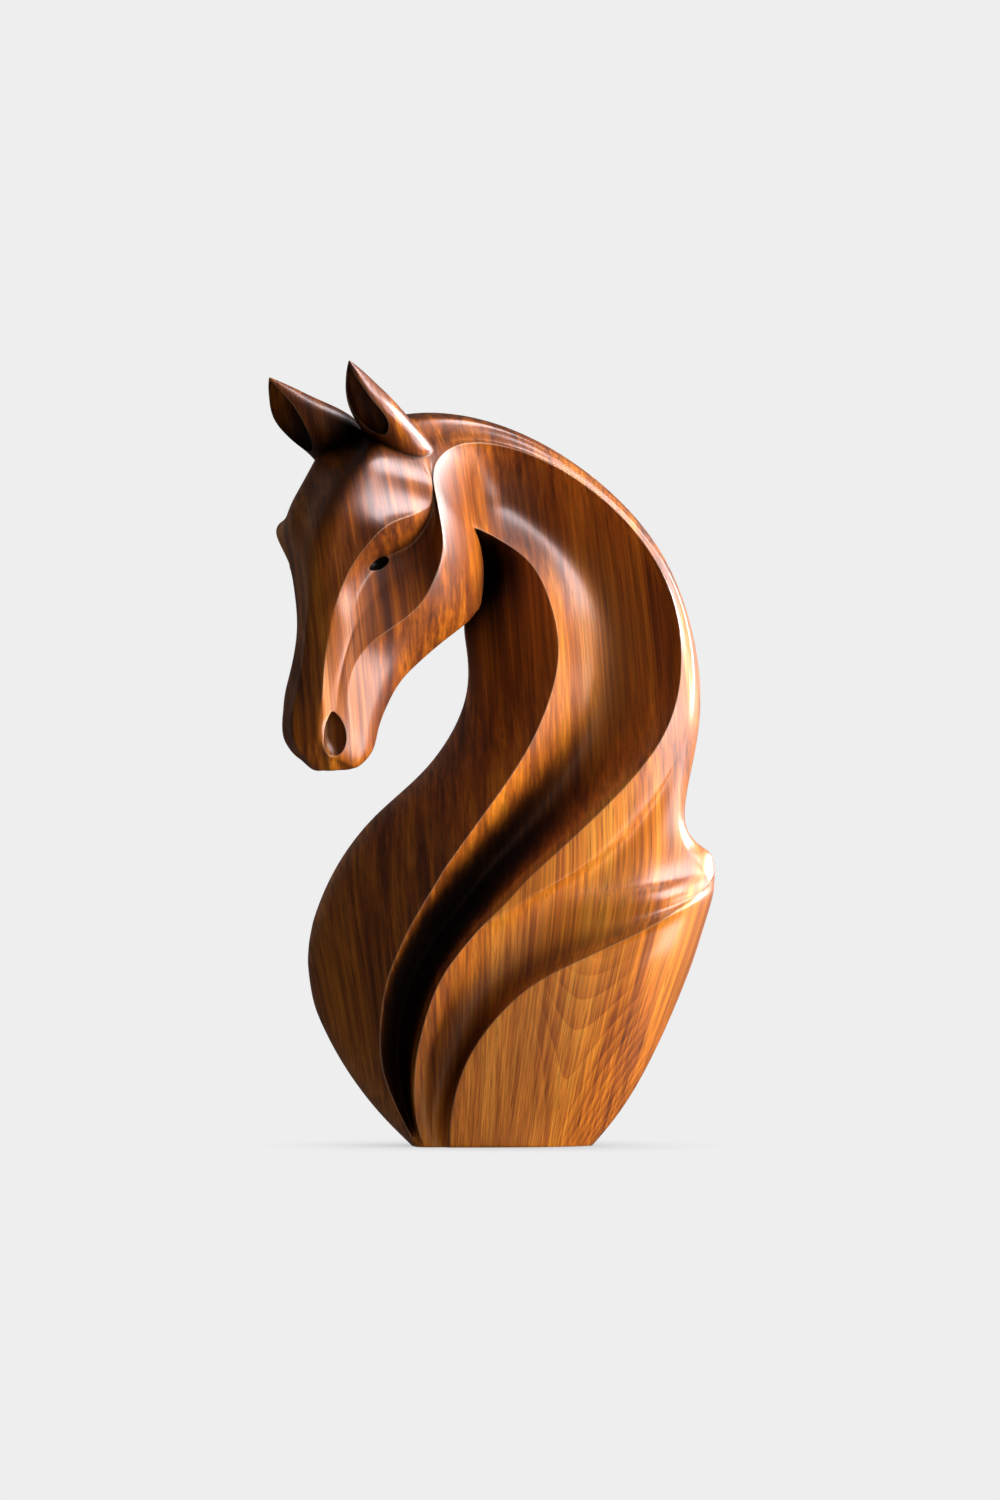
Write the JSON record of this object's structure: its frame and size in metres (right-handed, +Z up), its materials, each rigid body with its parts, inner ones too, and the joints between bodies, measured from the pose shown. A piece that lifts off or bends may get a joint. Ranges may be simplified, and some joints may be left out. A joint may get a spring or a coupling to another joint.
{
  "type": "horse figurine",
  "caption": "Carved wooden horse figurine: turned head with upright ears, arched fluted neck and a swept body that narrows to a flat foot.",
  "frame": {"origin": "middle of the bounding box, at the flat underside of the foot", "axes": "+Z up, +X towards the back of the neck and the lip behind the shoulder, front of the picture towards -Y"},
  "size_m": [0.2, 0.1365, 0.3498],
  "materials": {
    "walnut": "satin lacquer"
  },
  "bodies": {
    "root": {"horse_figurine": "walnut"}
  },
  "joints": []
}
